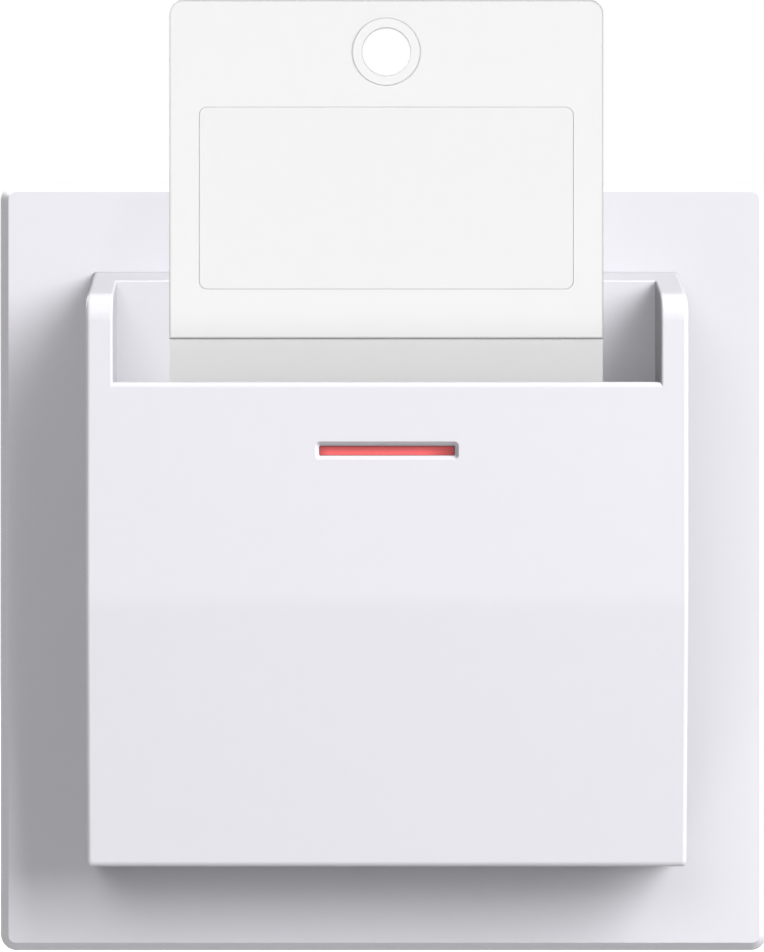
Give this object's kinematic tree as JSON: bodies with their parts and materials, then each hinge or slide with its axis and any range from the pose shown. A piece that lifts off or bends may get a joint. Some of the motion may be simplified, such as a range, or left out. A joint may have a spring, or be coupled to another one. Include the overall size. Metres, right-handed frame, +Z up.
{
  "type": "hotel key card switch",
  "caption": "Flush wall switch worked by a hotel key card: square frame, raised card pocket with a red indicator bar, and the card pushed home.",
  "frame": {"origin": "middle of the box screw pattern, on the back of the support strap, in the wall's plane", "axes": "+X to the right as seen from the room, +Y into the wall, +Z up"},
  "size_m": [0.081, 0.042, 0.0994],
  "materials": {
    "white_plastic": "glossy moulded white",
    "inner_plastic": "satin moulded white",
    "housing_plastic": "satin moulded grey",
    "rocker_plastic": "natural moulding",
    "card_plastic": "satin moulded white",
    "label_plastic": "plain white film",
    "eyelet_plastic": "glossy white",
    "red_lens": "translucent red",
    "lamp_red": "tinted clear red",
    "strap_steel": "zinc plated",
    "screw_steel": "zinc plated",
    "clamp_steel": "zinc plated",
    "spring_steel": "drawn wire",
    "tinned_wire": "tinned",
    "silver": "silver contact",
    "contact_brass": "stamped",
    "spring_bronze": "rolled",
    "board": "green laminate",
    "resistor_body": "lacquered"
  },
  "bodies": {
    "root": {"wall_frame": "white_plastic", "support_strap": "strap_steel", "front_cover": "white_plastic", "card_guide": "inner_plastic", "guide_screws": "screw_steel", "indicator_lens": "red_lens", "mechanism_housing": "housing_plastic", "mechanism_cover": "housing_plastic", "body_screws": "screw_steel", "rocker_pin": "screw_steel", "fixed_contact": "contact_brass", "fixed_tip": "silver", "common_contact": "contact_brass", "neutral_contact": "contact_brass", "terminal_clamps": "clamp_steel", "terminal_screws": "screw_steel", "lamp_board": "board", "indicator_lamp": "lamp_red", "lamp_resistor": "resistor_body", "lamp_leads": "tinned_wire", "return_spring_left": "spring_steel", "return_spring_right": "spring_steel"},
    "carriage": {"carriage": "inner_plastic"},
    "card": {"key_card": "card_plastic", "card_label": "label_plastic", "card_eyelet": "eyelet_plastic"},
    "rocker": {"rocker": "rocker_plastic"},
    "blade": {"contact_blade": "spring_bronze", "blade_tip": "silver"}
  },
  "joints": [
    {"name": "carriage_slide", "type": "slide", "parent": "root", "child": "carriage", "axis": [0, 0, 1], "range_m": [0, 0.006], "stiffness_N_per_m": 15, "springref_m": 0.02, "deforming": ["return_spring_left", "return_spring_right"]},
    {"name": "card_slide", "type": "slide", "parent": "carriage", "child": "card", "axis": [0, 0, 1], "range_m": [0, 0.05]},
    {"name": "rocker_turn", "type": "hinge", "parent": "root", "child": "rocker", "pos_m": [0, 0.0062, 0], "axis": [-1, 0, 0], "range_deg": [0, 34.4]},
    {"name": "blade_bend", "type": "hinge", "parent": "root", "child": "blade", "pos_m": [0, 0.0192, 0.00523], "axis": [1, 0, 0], "range_deg": [0, 8.02]}
  ],
  "couplings": [
    {"joint": "rocker_turn", "follows": "carriage_slide", "rad_per_m": 100},
    {"joint": "blade_bend", "follows": "carriage_slide", "rad_per_m": 23.271}
  ]
}
